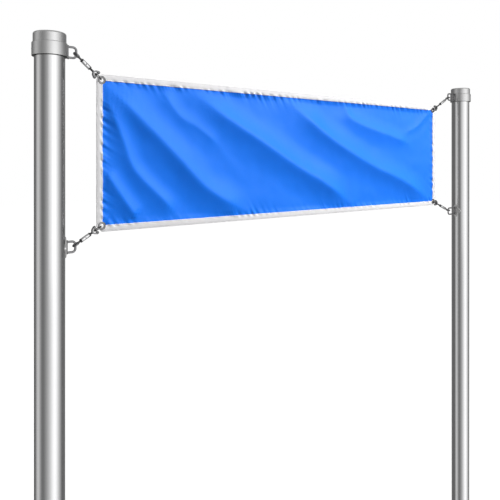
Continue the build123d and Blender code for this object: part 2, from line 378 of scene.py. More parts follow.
def pointing(origin, heading, side=(0, 1, 0)):
    """A matrix whose Z runs along a heading and whose Y is as near to side as it can be"""
    z = Vector(heading).normalized()
    y = Vector(side)
    y = (y - z * y.dot(z)).normalized()
    x = y.cross(z)
    return Matrix.Translation(Vector(origin)) @ Matrix((x, y, z)).transposed().to_4x4()


# Node helpers


class Nodes:
    """Builds one node tree in short calls"""

    def __init__(self, tree):
        self.tree = tree

    def add(self, kind, **settings):
        """A new node with its settings"""
        node = self.tree.nodes.new(kind)
        for name, value in settings.items():
            setattr(node, name, value)
        return node

    def link(self, source, target):
        """Joins an output to an input"""
        self.tree.links.new(source, target)

    def math(self, operation, first, second=None, third=None):
        """Arithmetic on outputs or numbers"""
        node = self.add("ShaderNodeMath", operation=operation)
        for index, value in enumerate((first, second, third)):
            if value is None:
                continue
            if isinstance(value, (int, float)):
                node.inputs[index].default_value = value
            else:
                self.link(value, node.inputs[index])
        return node.outputs[0]

    def noise(self, vector, scale, detail=2.0, roughness=0.5):
        """Soft noise over a vector"""
        node = self.add("ShaderNodeTexNoise")
        self.link(vector, node.inputs["Vector"])
        node.inputs["Scale"].default_value = scale
        node.inputs["Detail"].default_value = detail
        node.inputs["Roughness"].default_value = roughness
        return node.outputs["Fac"]

    def stretch(self, vector, scale):
        """A vector scaled along each axis"""
        node = self.add("ShaderNodeVectorMath", operation="MULTIPLY")
        self.link(vector, node.inputs[0])
        if isinstance(scale, tuple):
            node.inputs[1].default_value = scale
        else:
            self.link(scale, node.inputs[1])
        return node.outputs[0]

    def remap(self, value, low, high, to_low=0.0, to_high=1.0):
        """A value carried from one range to another, and held inside it"""
        node = self.add("ShaderNodeMapRange")
        self.link(value, node.inputs["Value"])
        for name, number in (("From Min", low), ("From Max", high), ("To Min", to_low), ("To Max", to_high)):
            if isinstance(number, (int, float)):
                node.inputs[name].default_value = number
            else:
                self.link(number, node.inputs[name])
        return node.outputs["Result"]

    def mix(self, fac, first, second):
        """A colour between two"""
        node = self.add("ShaderNodeMix", data_type="RGBA")
        self.link(fac, node.inputs["Factor"])
        for index, value in ((6, first), (7, second)):
            if isinstance(value, bpy.types.NodeSocket):
                self.link(value, node.inputs[index])
            else:
                node.inputs[index].default_value = (*value, 1)
        return node.outputs[2]

    def relief(self, height, shader, strength, distance):
        """Bumps a shader's surface by a height"""
        node = self.add("ShaderNodeBump")
        node.inputs["Strength"].default_value = strength
        node.inputs["Distance"].default_value = distance
        self.link(height, node.inputs["Height"])
        self.link(node.outputs[0], shader.inputs["Normal"])


def empty_tree(owner):
    """Clears the node tree of a material or world"""
    owner.use_nodes = True
    owner.node_tree.nodes.clear()
    return Nodes(owner.node_tree)


def new_group(name, inputs, outputs):
    """A shader node group with its sockets; inputs are (name, type, default)"""
    tree = bpy.data.node_groups.new(name, "ShaderNodeTree")
    for socket, kind, default in inputs:
        made = tree.interface.new_socket(name=socket, in_out="INPUT", socket_type=kind)
        if default is not None:
            made.default_value = default
    for socket, kind in outputs:
        tree.interface.new_socket(name=socket, in_out="OUTPUT", socket_type=kind)
    nodes = Nodes(tree)
    return nodes, nodes.add("NodeGroupInput"), nodes.add("NodeGroupOutput")


def grain_group():
    """Fine scratches along one direction, with a few deeper ones, and soft handling marks"""
    found = bpy.data.node_groups.get("Metal Grain")
    if found:
        return found
    nodes, given, out = new_group(
        "Metal Grain",
        [
            ("Vector", "NodeSocketVector", None),
            ("Stretch", "NodeSocketVector", (1.0, 1.0, 1.0)),
            ("Smudge", "NodeSocketFloat", 0.5),
        ],
        [("Height", "NodeSocketFloat"), ("Mask", "NodeSocketFloat")],
    )
    stretched = nodes.stretch(given.outputs["Vector"], given.outputs["Stretch"])
    fine = nodes.noise(stretched, 1.0, 4.0, 0.65)
    coarse = nodes.noise(stretched, 0.23, 2.0)
    lines = nodes.math("ADD", nodes.math("MULTIPLY", fine, 0.65), nodes.math("MULTIPLY", coarse, 0.35))
    marks = nodes.remap(nodes.noise(given.outputs["Vector"], 14.0, 5.0, 0.6), 0.42, 0.72)
    smudged = nodes.math("MULTIPLY", marks, given.outputs["Smudge"])
    nodes.link(lines, out.inputs["Height"])
    nodes.link(nodes.math("ADD", nodes.math("MULTIPLY", lines, 0.7), smudged), out.inputs["Mask"])
    return nodes.tree


def weave_group():
    """Threads that pass over and under each other, with slight unevenness"""
    found = bpy.data.node_groups.get("Cloth Weave")
    if found:
        return found
    nodes, given, out = new_group(
        "Cloth Weave",
        [
            ("Vector", "NodeSocketVector", None),
            ("Threads", "NodeSocketFloat", 2500.0),
            ("Slub", "NodeSocketFloat", 0.5),
        ],
        [("Height", "NodeSocketFloat"), ("Mask", "NodeSocketFloat")],
    )
    split = nodes.add("ShaderNodeSeparateXYZ")
    nodes.link(given.outputs["Vector"], split.inputs[0])
    warp = nodes.math("SINE", nodes.math("MULTIPLY", split.outputs["X"], given.outputs["Threads"]))
    weft = nodes.math("SINE", nodes.math("MULTIPLY", split.outputs["Z"], given.outputs["Threads"]))
    over = nodes.math("MULTIPLY", warp, weft)
    uneven = nodes.noise(nodes.stretch(given.outputs["Vector"], (220.0, 220.0, 900.0)), 1.0, 3.0)
    slub = nodes.math("MULTIPLY", uneven, given.outputs["Slub"])
    nodes.link(nodes.math("ADD", nodes.math("MULTIPLY_ADD", over, 0.5, 0.5), slub), out.inputs["Height"])
    nodes.link(nodes.math("ADD", nodes.math("MULTIPLY_ADD", over, 0.2, 0.3), slub), out.inputs["Mask"])
    return nodes.tree


def new_material(name):
    """An empty material with its Principled shader, and the tools to fill it"""
    material = bpy.data.materials.get(name)
    if material:
        return material, None, None, None
    material = bpy.data.materials.new(name)
    nodes = empty_tree(material)
    shader = nodes.add("ShaderNodeBsdfPrincipled")
    nodes.link(shader.outputs[0], nodes.add("ShaderNodeOutputMaterial").inputs["Surface"])
    return material, nodes, shader, nodes.add("ShaderNodeTexCoord").outputs["Object"]


def metal(name, colour, stretch, roughness, bump, smudge, vary):
    """Steel with a directed grain, from satin to polished"""
    material, nodes, shader, place = new_material(name)
    if not nodes:
        return material
    grain = nodes.add("ShaderNodeGroup", node_tree=grain_group())
    nodes.link(place, grain.inputs["Vector"])
    grain.inputs["Stretch"].default_value = stretch
    grain.inputs["Smudge"].default_value = smudge
    worn = tuple(c * (1 - vary) for c in colour)
    tint = nodes.mix(nodes.remap(grain.outputs["Mask"], 0.2, 0.9), tuple(colour), worn)
    nodes.link(tint, shader.inputs["Base Color"])
    rough = nodes.remap(grain.outputs["Mask"], 0.1, 1.0, roughness * 0.8, roughness * 1.35)
    nodes.link(rough, shader.inputs["Roughness"])
    shader.inputs["Metallic"].default_value = 1.0
    nodes.relief(grain.outputs["Height"], shader, bump, 0.4 * MM)
    return material


def fabric(name, light, dark, threads, roughness, bump, gloss, slub=0.5, blotch=0.0):
    """Woven cloth whose threads differ a little in colour"""
    material, nodes, shader, place = new_material(name)
    if not nodes:
        return material
    weave = nodes.add("ShaderNodeGroup", node_tree=weave_group())
    nodes.link(place, weave.inputs["Vector"])
    weave.inputs["Threads"].default_value = threads
    weave.inputs["Slub"].default_value = slub
    patches = nodes.remap(nodes.noise(place, 55.0, 4.0, 0.6), 0.35, 0.7, 0.0, blotch)
    shade = nodes.math("ADD", nodes.remap(weave.outputs["Mask"], 0.1, 0.9, 0.0, 1.0 - blotch), patches)
    nodes.link(nodes.mix(shade, tuple(light), tuple(dark)), shader.inputs["Base Color"])
    rough = nodes.remap(weave.outputs["Mask"], 0.0, 1.0, roughness * 0.85, roughness * 1.15)
    nodes.link(rough, shader.inputs["Roughness"])
    shader.inputs["Specular IOR Level"].default_value = gloss
    nodes.relief(weave.outputs["Height"], shader, bump, 0.2 * MM)
    return material


def colours():
    """The colours set in the sidebar"""
    return bpy.context.scene.finish_colours


def tube_steel():
    """Drawn tube: very fine grinding marks round it"""
    return metal(
        "tube_steel", colours().steel,
        stretch=(14.0, 14.0, 1600.0), roughness=0.19, bump=0.05, smudge=0.15, vary=0.05,
    )


def turned_steel():
    """Turned rings and cups: plain brushing round them"""
    return metal(
        "turned_steel", colours().steel,
        stretch=(9.0, 9.0, 2300.0), roughness=0.17, bump=0.04, smudge=0.2, vary=0.30,
    )


def polished_steel():
    """Small bright fittings"""
    return metal(
        "polished_steel", colours().polished,
        stretch=(900.0, 900.0, 900.0), roughness=0.12, bump=0.04, smudge=0.6, vary=0.08,
    )


def burnished_steel():
    """Dark steel of lock nuts and grub screws; on the collars' undersides the same dark steel is painted shade
    """
    return metal(
        "burnished_steel", colours().burnished_and_shade,
        stretch=(700.0, 700.0, 700.0), roughness=0.3, bump=0.1, smudge=0.8, vary=0.3,
    )


def weld_steel():
    """Brushed weld beads"""
    return metal(
        "weld_steel", colours().weld,
        stretch=(500.0, 500.0, 500.0), roughness=0.38, bump=0.5, smudge=0.8, vary=0.3,
    )


def flange_steel():
    """Rolled plate: brushed along one way"""
    return metal(
        "flange_steel", colours().steel,
        stretch=(900.0, 12.0, 12.0), roughness=0.30, bump=0.18, smudge=0.5, vary=0.18,
    )


def eyelet_steel():
    """Pressed and rolled eyelets"""
    return metal(
        "eyelet_steel", colours().polished,
        stretch=(600.0, 600.0, 600.0), roughness=0.16, bump=0.08, smudge=0.5, vary=0.12,
    )


def blue_cloth():
    """Smooth dyed banner cloth"""
    return fabric(
        "blue_cloth", colours().cloth, colours().cloth_deep,
        threads=5200.0, roughness=0.45, bump=0.10, gloss=0.14, slub=0.5, blotch=0.12,
    )


def hem_cloth():
    """Woven hem tape, slightly mottled"""
    return fabric(
        "hem_cloth", colours().hem, colours().hem_shade,
        threads=4200.0, roughness=0.75, bump=0.25, gloss=0.25, slub=0.6, blotch=0.35,
    )


def stitch_thread():
    """Sewing thread"""
    return fabric(
        "stitch_thread", colours().thread, colours().hem_shade,
        threads=9000.0, roughness=0.6, bump=0.1, gloss=0.3,
    )


# Poles


def pole_facts(side):
    """Axis place, tube radius and height range of a pole"""
    low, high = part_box(f"{side}_pole")
    return (low.x + high.x) / 2, (high.x - low.x) / 2, low.z, high.z


class POLES_OT_tubes(bpy.types.Operator):
    """Tubes with their wall, on the flanges"""

    bl_idname = "banner_poles.tubes"
    bl_label = "Pole tubes"

    def execute(self, context):
        for side in SIDES:
            x, radius, low, high = pole_facts(side)
            bore = radius - TUBE_WALL
            profile = [(radius, low), (radius, high), (bore, high), (bore, low)]
            part = placed(lathe(profile, 192, closed=True), upright(x, 0, 0))
            tube = new_piece(f"{side}_tube", *part, tube_steel(), ROOT, "pole_steel")
            sharpen(tube)
            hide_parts(f"{side}_pole")
        return {"FINISHED"}


class POLES_OT_rings(bpy.types.Operator):
    """Caps, collars and their grub screws"""

    bl_idname = "banner_poles.rings"
    bl_label = "Caps and collars"

    def execute(self, context):
        for side, facing in SIDES.items():
            x, radius, _, tube_top = pole_facts(side)
            self.cap(side, x, radius + FIT, tube_top)
            outer, middle = self.collar(side, x, radius + FIT)
            for count, turn in enumerate((90, 90 + facing * 75)):
                heading = Vector((math.cos(math.radians(turn)), math.sin(math.radians(turn)), 0))
                spot = Vector((x, 0, middle)) + heading * (outer - 2.2 * MM)
                part = placed(grub_screw(), pointing(spot, heading, UP))
                screw = new_piece(f"{side}_grub_screw_{count}", *part, burnished_steel(), ROOT, "rigging_steel")
                sharpen(screw)
        return {"FINISHED"}

    def cap(self, side, x, bore, tube_top):
        """A cup with a rounded top edge, down on the tube's end"""
        low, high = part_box(f"{side}_cap")
        outer, bottom, top = (high.x - low.x) / 2, low.z, high.z
        profile = [(bore, bottom), (outer - 0.4 * MM, bottom), (outer, bottom + 0.4 * MM)]
        profile += [(outer, top - CAP_EDGE)]
        profile += arc((outer - CAP_EDGE, top - CAP_EDGE), CAP_EDGE, 0, 90, 12)
        profile += [(outer * 0.6, top), (AXIS, top), (AXIS, tube_top), (bore, tube_top)]
        part = placed(lathe(profile, 192, closed=True), upright(x, 0, 0))
        cap = new_piece(f"{side}_cap_cup", *part, turned_steel(), ROOT, "turned_steel")
        sharpen(cap)
        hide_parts(f"{side}_cap")

    def collar(self, side, x, bore):
        """A ring with eased edges; gives its radius and middle height"""
        low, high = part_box(f"{side}_collar")
        outer, bottom, top = max(high.x - low.x, high.y - low.y) / 2, low.z, high.z
        profile = [(bore, bottom)]
        profile += arc((outer - COLLAR_EDGE, bottom + COLLAR_EDGE), COLLAR_EDGE, -90, 0, 6)
        profile += arc((outer - COLLAR_EDGE, top - COLLAR_EDGE), COLLAR_EDGE, 0, 90, 6)
        profile += [(bore, top)]
        part = placed(lathe(profile, 192, closed=True), upright(x, 0, 0))
        collar = new_piece(f"{side}_collar_ring", *part, turned_steel(), ROOT, "turned_steel")
        sharpen(collar)
        paint_shade_on_underside(collar)
        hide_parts(f"{side}_collar")
        return outer, (bottom + top) / 2


def paint_shade_on_underside(ring):
    """Paints shade on a ring's lower face: dark, unbrushed steel that stands in for the shadow under it"""
    # painted shade: every downward face of the ring takes the dark steel
    ring.data.materials.append(burnished_steel())
    for polygon in ring.data.polygons:
        if polygon.normal.z < -0.5:
            polygon.material_index = 1


def grub_screw():
    """A flush set screw with a six-sided socket"""
    rim = 2.4 * MM
    outside = lathe([(AXIS, 0), (2.9 * MM, 0), (2.9 * MM, 2.0 * MM), (2.5 * MM, rim), (1.7 * MM, rim)], 24)
    socket = lathe([(1.7 * MM, rim), (1.6 * MM, 2.3 * MM), (1.6 * MM, 0.8 * MM), (AXIS, 0.5 * MM)], 6)
    return join(outside, socket)


class POLES_OT_flanges(bpy.types.Operator):
    """Base flanges with their anchor holes and weld"""

    bl_idname = "banner_poles.flanges"
    bl_label = "Base flanges"

    def execute(self, context):
        for side in SIDES:
            x, radius, top, _ = pole_facts(side)
            low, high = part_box(f"{side}_base_flange")
            outer, edge = (high.x - low.x) / 2, FLANGE_EDGE
            profile = [(AXIS, 0), (outer - 0.6 * MM, 0), (outer, 0.6 * MM), (outer, top - edge)]
            profile += arc((outer - edge, top - edge), edge, 10, 90, 5)
            profile += [(radius + 3 * MM, top), (AXIS, top)]
            part = placed(lathe(profile, 128), upright(x, 0, 0))
            flange = new_piece(f"{side}_foot", *part, flange_steel(), ROOT, "flange_steel")
            turns = [math.radians(45 + 90 * k) for k in range(4)]
            spots = [(x + ANCHOR_CIRCLE * math.cos(t), ANCHOR_CIRCLE * math.sin(t)) for t in turns]
            cut(flange, *[placed(rod(ANCHOR_HOLE, -0.01, 0.03), upright(*spot, 0)) for spot in spots])
            sharpen(flange)
            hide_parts(f"{side}_base_flange")
            reach, height = radius + 1.2 * MM, top + 1.2 * MM
            path = [(x + reach * math.cos(t), reach * math.sin(t), height) for t in turns_of(240)]
            part = bead_along(path, 3.2 * MM, closed=True)
            new_piece(f"{side}_foot_weld", *part, weld_steel(), ROOT, "flange_steel")
        return {"FINISHED"}


def bead_along(path, radius, closed=False, ripple=1.7 * MM):
    """A weld bead whose ripples follow each other along its path"""
    path = [Vector(p) for p in path]
    points = 12
    verts, faces = sweep(path, circle(radius, points), closed)
    travelled, out = 0.0, []
    for k, point in enumerate(path):
        if k:
            travelled += (point - path[k - 1]).length
        swell = 1 + 0.10 * abs(math.sin(math.pi * travelled / ripple)) - 0.05
        out.extend([point + (v - point) * swell for v in verts[k * points : (k + 1) * points]])
    return out, faces


# Eyes on the poles


def eye_facts(corner):
    """Pole axis, facing, seat radius, tip place and height of an eye"""
    side = corner.split("_")[1]
    x, radius, _, _ = pole_facts(side)
    low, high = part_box(f"{corner}_eye")
    facing = SIDES[side]
    tip = high.x if facing > 0 else low.x
    seat = COLLAR_RADIUS if corner.startswith("upper") else radius + SADDLE_THICKNESS
    return x, facing, seat, abs(tip - x), (low.z + high.z) / 2, (high.z - low.z) / 2


class POLES_OT_eyes(bpy.types.Operator):
    """Bent bar eyes, their back bars, saddles and welds"""

    bl_idname = "banner_poles.eyes"
    bl_label = "Pole eyes"

    def execute(self, context):
        sizes = context.scene.rigging_sizes
        for corner in CORNERS:
            x, facing, seat, reach, height, half = eye_facts(corner)
            bar = sizes.eye_rod / 2
            tip, level, bend = reach - bar, half - bar, sizes.eye_bend
            route = [(seat - bar, level)]
            route += arc((tip - bend, level - bend), bend, 90, 0, 10)
            route += arc((tip - bend, bend - level), bend, 0, -90, 10)
            route += [(seat - bar, -level)]
            path = [(x + facing * r, 0, height + h) for r, h in route]
            loop = sweep(path, circle(bar, 24), False, (0, 1, 0))
            back = back_bar(x, facing, seat, half, sizes.eye_back, EYE_BACK_HALF_WIDTH, height)
            eye = new_piece(f"{corner}_eye_bar", *join(loop, back), polished_steel(), ROOT, "rigging_steel")
            sharpen(eye, 50)
            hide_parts(f"{corner}_eye")
            welds = []
            for h in (level, -level):
                centre = Vector((x + facing * (seat + sizes.eye_back), 0, height + h))
                ring = [centre + Vector((0, y, z)) for y, z in circle(bar + 0.5 * MM, 48)]
                welds.append(bead_along(ring, 1.1 * MM, True))
            for way in (1, -1):
                edge = math.sqrt(seat**2 - EYE_WELD_OFFSET**2)
                heights = [height + half * (k / 20 - 1) for k in range(41)]
                line = [(x + facing * edge, way * EYE_WELD_OFFSET, h) for h in heights]
                welds.append(bead_along(line, 1.2 * MM))
            new_piece(f"{corner}_eye_weld", *join(*welds), weld_steel(), ROOT, "rigging_steel")
        for side in SIDES:
            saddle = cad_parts[f"{side}_saddle"]
            saddle.data.materials.clear()
            saddle.data.materials.append(turned_steel())
            edge = saddle.modifiers.new("eased edges", "BEVEL")
            edge.width, edge.segments, edge.limit_method = 0.5 * MM, 2, "ANGLE"
        return {"FINISHED"}


def back_bar(x, facing, seat, half, thickness, half_width, height):
    """The flat bar behind an eye, its ends rounded and its back sunk into the curve"""
    corners = [(-half_width, -half), (half_width, -half), (half_width, half), (-half_width, half)]
    outline = rounded(corners, 2 * MM, 4)
    top = seat + thickness
    layers = [(seat - 0.5 * MM, 1.0), (top - 0.8 * MM, 1.0), (top - 0.2 * MM, 0.93), (top, 0.85)]
    verts = []
    for reach, share in layers:
        inset = half_width * (1 - share)
        for y, z in outline:
            y_in = y - math.copysign(inset, y)
            z_in = z - math.copysign(inset, z)
            verts.append((x + facing * reach, y_in, height + z_in))
    faces = grid_faces(len(layers), len(outline), False, True)
    last = (len(layers) - 1) * len(outline)
    faces.append(tuple(range(last, last + len(outline))))
    faces.append(tuple(range(len(outline) - 1, -1, -1)))
    return verts, faces


# Rigging screws


class Link:
    """Where the pieces of one rigging screw lie on its axis, from its eye and its grommet"""

    def __init__(self, corner, sizes):
        x, facing, _, reach, height, _ = eye_facts(corner)
        away = -1 if corner.startswith("upper") else 1
        end = middle_of(f"{corner}_grommet")
        hook = Vector((x + facing * (reach - sizes.eye_rod / 2), 0, height + away * 4.5 * MM))
        end.y = 0
        self.along = (end - hook).normalized()
        self.length = (end - hook).length
        self.place = pointing(hook, self.along)
        barrel = sizes.barrel_left if corner.endswith("left") else sizes.barrel_right
        self.barrel_start = 0.37 * self.length - barrel / 2
        self.barrel_end = self.barrel_start + barrel
        self.depth = 0.38 * barrel
        loop_end = -(sizes.eye_rod / 2 + sizes.loop_rod / 2 + 0.1 * MM) / abs(self.along.x)
        self.loop = loop_end + sizes.loop_radius
        self.pin = self.length - sizes.pin_inset
        self.crown = self.pin - sizes.crown + sizes.fork_gap / 2


class RIG_OT_eye_screws(bpy.types.Operator):
    """Screws with a closed loop through the pole's eye"""

    bl_idname = "banner_poles.eye_screws"
    bl_label = "Eye screws"

    def execute(self, context):
        sizes = context.scene.rigging_sizes
        for corner in CORNERS:
            link = Link(corner, sizes)
            radius, neck = sizes.loop_radius, link.loop + sizes.loop_radius
            path = [(0, radius * math.sin(t), link.loop - radius * math.cos(t)) for t in turns_of(72)]
            loop = sweep(path, circle(sizes.loop_rod / 2, 24), True, (1, 0, 0))
            profile = [(AXIS, neck - 1.5 * MM), (2.6 * MM, neck - 1.0 * MM), (2.75 * MM, neck + 2 * MM)]
            profile += [(2.9 * MM, neck + 2.6 * MM), (AXIS, neck + 2.7 * MM)]
            shank = thread(neck + 2 * MM, link.barrel_start + link.depth, sizes.screw, sizes.pitch)
            part = placed(join(loop, lathe(profile, 32), shank), link.place)
            screw = new_piece(f"{corner}_loop_screw", *part, polished_steel(), ROOT, "rigging_steel")
            sharpen(screw, 50)
            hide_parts(f"{corner}_eye_screw")
        return {"FINISHED"}


class RIG_OT_barrels(bpy.types.Operator):
    """Barrels with a bore for both screws and a cross hole"""

    bl_idname = "banner_poles.barrels"
    bl_label = "Barrels"

    def execute(self, context):
        sizes = context.scene.rigging_sizes
        for corner in CORNERS:
            link = Link(corner, sizes)
            start, end, outer = link.barrel_start, link.barrel_end, sizes.barrel / 2
            bore, ease = sizes.screw / 2 + 0.05 * MM, 0.8 * MM
            shoulder, drop = outer - 0.25 * MM, 0.35 * MM
            profile = [(bore, start), (outer - ease, start), (shoulder, start + drop), (outer, start + ease)]
            profile += [(outer, end - ease), (shoulder, end - drop), (outer - ease, end), (bore, end)]
            part = placed(lathe(profile, 64, closed=True), link.place)
            barrel = new_piece(f"{corner}_turnbarrel", *part, tube_steel(), f"{corner}_barrel", "rigging_steel")
            across = link.place @ upright(0, 0, (start + end) / 2) @ Matrix.Rotation(math.pi / 2, 4, "X")
            cut(barrel, placed(rod(CROSS_HOLE, -outer * 1.5, outer * 1.5), across))
            sharpen(barrel, 30)
            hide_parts(f"{corner}_barrel")
        return {"FINISHED"}


def hex_nut(flats, height, bore):
    """A six-sided nut with both faces turned down to a cone"""
    segments, verts = 48, []
    levels = [(0, 0.90), (0.12, 0.96), (0.3, 1.2), (0.7, 1.2), (0.88, 0.96), (1, 0.90)]
    for level, share in levels:
        for turn in turns_of(segments):
            flat = flats / 2 / math.cos((turn + math.pi / 6) % (math.pi / 3) - math.pi / 6)
            radius = min(flat, flats / 2 * share * 1.08)
            verts.append((radius * math.cos(turn), radius * math.sin(turn), level * height))
    for level in (1, 0):
        verts.extend([(bore * math.cos(t), bore * math.sin(t), level * height) for t in turns_of(segments)])
    return verts, grid_faces(len(levels) + 2, segments, True, True)


class RIG_OT_nuts(bpy.types.Operator):
    """Lock nuts on both screws, up against the barrel"""

    bl_idname = "banner_poles.nuts"
    bl_label = "Lock nuts"

    def execute(self, context):
        sizes = context.scene.rigging_sizes
        for corner in CORNERS:
            link = Link(corner, sizes)
            near = link.barrel_start - sizes.nut_gap - sizes.nut_height
            far = link.barrel_end + sizes.nut_gap
            for end, start in (("near", near), ("far", far)):
                turned = link.place @ upright(0, 0, start) @ Matrix.Rotation(math.pi / 2, 4, "Z")
                part = placed(hex_nut(sizes.nut, sizes.nut_height, sizes.screw / 2 - 0.2 * MM), turned)
                nut = new_piece(f"{corner}_{end}_lock_nut", *part, burnished_steel(), ROOT, "rigging_steel")
                sharpen(nut, 25)
                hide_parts(f"{corner}_{end}_nut")
        return {"FINISHED"}


class RIG_OT_forks(bpy.types.Operator):
    """Screws with a fork and its pin"""

    bl_idname = "banner_poles.forks"
    bl_label = "Fork screws"

    def execute(self, context):
        sizes = context.scene.rigging_sizes
        for corner in CORNERS:
            link = Link(corner, sizes)
            strap = sizes.fork_strap
            middle, half = (sizes.fork_gap + strap) / 2, strap / 2
            route = [(middle, 0, link.pin)]
            route += [(r, 0, h) for r, h in arc((0, link.crown), middle, 0, -180, 24)]
            route += [(-middle, 0, link.pin)]
            depth = sizes.fork_depth / 2
            corners = [(-depth, -half), (depth, -half), (depth, half), (-depth, half)]
            pieces = [sweep(route, rounded(corners, 0.6 * MM, 3), False, (1, 0, 0))]
            for way in (1, -1):
                pieces.extend(self.cheek(sizes, way, middle, half, link.pin))
            outside = middle + half
            pieces.append(placed(rod(sizes.pin / 2, -outside, outside), pointing((0, 0, link.pin), (1, 0, 0))))
            foot = link.crown - sizes.fork_gap / 2 - strap
            neck = [(AXIS, foot - 1.3 * MM), (3.4 * MM, foot - 1.2 * MM), (3.6 * MM, foot - 0.1 * MM)]
            pieces.append(lathe([*neck, (AXIS, foot - 0.2 * MM)], 32))
            pieces.append(thread(link.barrel_end - link.depth, foot + strap / 2, sizes.screw, sizes.pitch))
            part = placed(join(*pieces), link.place)
            fork = new_piece(f"{corner}_fork", *part, polished_steel(), ROOT, "rigging_steel")
            sharpen(fork, 35)
            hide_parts(f"{corner}_fork_screw")
        return {"FINISHED"}

    def cheek(self, sizes, way, middle, half, pin):
        """The round end of one fork arm, and the pin's head on it"""
        strap, head, rim = sizes.fork_strap, sizes.pin_head / 2, 4.5 * MM
        tip = [(AXIS, 0), (rim - 0.4 * MM, 0), (rim, 0.4 * MM), (rim, strap - 0.4 * MM)]
        tip += [(rim - 0.4 * MM, strap), (AXIS, strap)]
        dome = [(AXIS, 0), (head - 0.3 * MM, 0), (head, 0.3 * MM), (head, 1.2 * MM)]
        dome += [(head * 0.85, 1.8 * MM), (head * 0.5, 2.15 * MM), (AXIS, 2.2 * MM)]
        outward = (way, 0, 0)
        return (
            placed(lathe(tip, 40), pointing((way * (middle - half), 0, pin), outward)),
            placed(lathe(dome, 32), pointing((way * (middle + half), 0, pin), outward)),
        )


class RIG_OT_rings(bpy.types.Operator):
    """Long rings from the forks' pins through the grommets"""

    bl_idname = "banner_poles.rings_long"
    bl_label = "Rings"

    def execute(self, context):
        sizes = context.scene.rigging_sizes
        for corner in CORNERS:
            link = Link(corner, sizes)
            radius = sizes.ring_half + sizes.ring_rod / 2
            start = link.pin - sizes.pin / 2 - 0.05 * MM - sizes.ring_rod / 2 + radius
            end = link.length - sizes.ring_inset - radius
            route = arc((end, 0), radius, 90, -90, 24) + arc((start, 0), radius, 270, 90, 24)
            path = [(0, across, along) for along, across in route]
            part = placed(sweep(path, circle(sizes.ring_rod / 2, 20), True, (1, 0, 0)), link.place)
            ring = new_piece(f"{corner}_long_ring", *part, polished_steel(), ROOT, "rigging_steel")
            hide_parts(f"{corner}_ring")
        return {"FINISHED"}


class RIG_OT_grommets(bpy.types.Operator):
    """Rolled eyelets in the banner's corners"""

    bl_idname = "banner_poles.grommets"
    bl_label = "Grommets"

    def execute(self, context):
        for corner in CORNERS:
            low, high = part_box(f"{corner}_grommet")
            centre, outer, half = (low + high) / 2, (high.x - low.x) / 2, (high.y - low.y) / 2
            hole, seat, roll = outer / 2, half - 1.2 * MM, 1.5 * MM
            front = [(hole, half - 1.6 * MM)]
            front += arc((hole + roll, half - roll), roll, 170, 70, 8)
            front += [(outer - 1.6 * MM, half - 0.25 * MM), (outer - 0.5 * MM, half - 0.6 * MM)]
            front += [(outer, seat + 0.15 * MM), (outer - 0.3 * MM, seat), (hole + 0.8 * MM, seat)]
            profile = front + [(r, -h) for r, h in reversed(front)]
            part = placed(lathe(profile, 72, closed=True), pointing(centre, (0, -1, 0), (0, 0, 1)))
            grommet = new_piece(f"{corner}_eyelet", *part, eyelet_steel(), ROOT, "grommet_steel")
            sharpen(grommet, 60)
            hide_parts(f"{corner}_grommet")
        return {"FINISHED"}


# Banner

CREST_BLEND = 6 * MM  # width over which a fold's two sides meet
FOLD_POWER = 2.2
TAPER = 0.16  # share of a fold's length over which each end runs out
MEAN_LIFT = 3.2 * MM  # taken off, so that the folds lie about the middle plane
HOLD_START, HOLD_SPAN = 12 * MM, 24 * MM  # where the hem stops holding the cloth flat
SLANT = 0.62
PUCKER_START = 8 * MM
# Each fold: its crest's route in shares of the banner's half width and half height, then the
# shares of a full fold's height and of its reach
FOLDS = (
    ([(-0.965, 0.850), (-0.822, 0.416), (-0.683, -0.033), (-0.534, -0.514), (-0.345, -0.869)], 1.0, 1.0),
    ([(-0.965, 0.692), (-0.900, 0.154), (-0.853, -0.229), (-0.735, -0.636), (-0.681, -0.846)], 0.55, 0.62),
    ([(-0.969, -0.234), (-0.900, -0.593), (-0.842, -0.869)], 0.6, 0.6),
    ([(-0.745, 0.874), (-0.664, 0.523), (-0.583, 0.374), (-0.480, 0.130)], 0.30, 0.6),
    (
        [(-0.583, 0.813), (-0.460, 0.556), (-0.235, 0.140), (-0.023, -0.250), (0.101, -0.450), (0.300, -0.855)],
        1.0, 1.0,
    ),
    (
        [(-0.090, 0.822), (0.010, 0.584), (0.222, 0.166), (0.478, -0.216), (0.696, -0.474), (0.926, -0.855)],
        1.0, 1.0,
    ),
    ([(0.256, 0.850), (0.312, 0.631), (0.452, 0.481), (0.623, 0.355), (0.760, 0.234)], 0.5, 0.7),
    ([(0.970, 0.920), (0.896, 0.720), (0.831, 0.560), (0.740, 0.440)], 0.16, 0.4),
)


def eased(share):
    """A share from 0 to 1 with soft ends"""
    return share * share * (3 - 2 * share)


def smooth_route(points, half, step=6 * MM):
    """A curve through the points, as closely spaced samples in metres"""
    knots = [Vector((x * half[0], z * half[1])) for x, z in points]
    knots = [2 * knots[0] - knots[1], *knots, 2 * knots[-1] - knots[-2]]
    out = []
    for a, b, c, d in zip(knots, knots[1:], knots[2:], knots[3:]):
        count = max(2, round((c - b).length / step))
        for k in range(count):
            t = k / count
            square, cube = 2 * a - 5 * b + 4 * c - d, 3 * b - a - 3 * c + d
            out.append(0.5 * (2 * b + (c - a) * t + square * t**2 + cube * t**3))
    out.append(knots[-2])
    return np.array([tuple(p) for p in out])


def value_noise(seed, along, spacing):
    """Smooth random values along a length, about -1 to 1"""
    count = 4096
    table = np.random.default_rng(seed).uniform(-1, 1, count)
    place = along / spacing
    cell = np.floor(place).astype(int)
    part = eased(place - cell)
    return table[cell % count] * (1 - part) + table[(cell + 1) % count] * part


